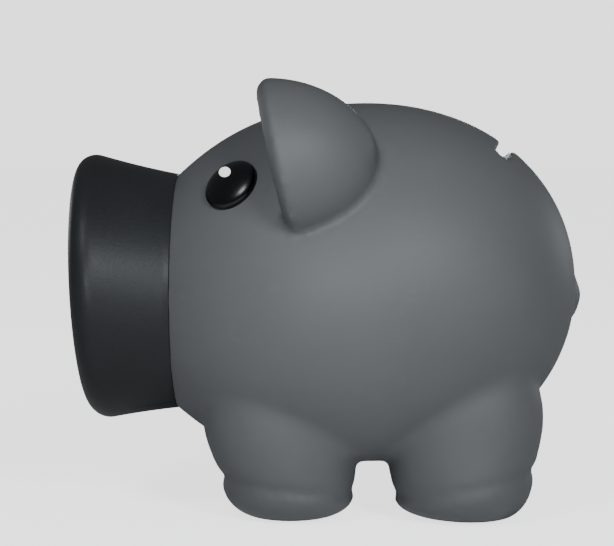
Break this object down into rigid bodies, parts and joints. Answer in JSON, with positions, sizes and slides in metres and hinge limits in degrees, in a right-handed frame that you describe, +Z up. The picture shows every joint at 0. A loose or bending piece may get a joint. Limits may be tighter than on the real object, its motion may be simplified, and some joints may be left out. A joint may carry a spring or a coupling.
{
  "type": "pig money box",
  "caption": "Round pig money box in soft vinyl with a rump coin slot and a large dark snout that pulls out to empty it.",
  "frame": {"origin": "centre of the bounding box on the plane that the four hooves stand on", "axes": "+X towards the tail, so the snout points along -X, +Y towards the pig's right side, +Z up"},
  "size_m": [0.1272, 0.1064, 0.1071],
  "materials": {
    "body_vinyl": "satin dark grey soft vinyl",
    "snout_vinyl": "satin near-black soft vinyl",
    "eye_gloss": "polished black"
  },
  "bodies": {
    "body": {"body_shell": "body_vinyl", "eye_left": "eye_gloss", "eye_right": "eye_gloss"},
    "snout": {"snout": "snout_vinyl"}
  },
  "joints": [
    {"name": "snout_pull", "type": "slide", "parent": "body", "child": "snout", "axis": [-1, 0, 0], "range_m": [0, 0.06]}
  ]
}
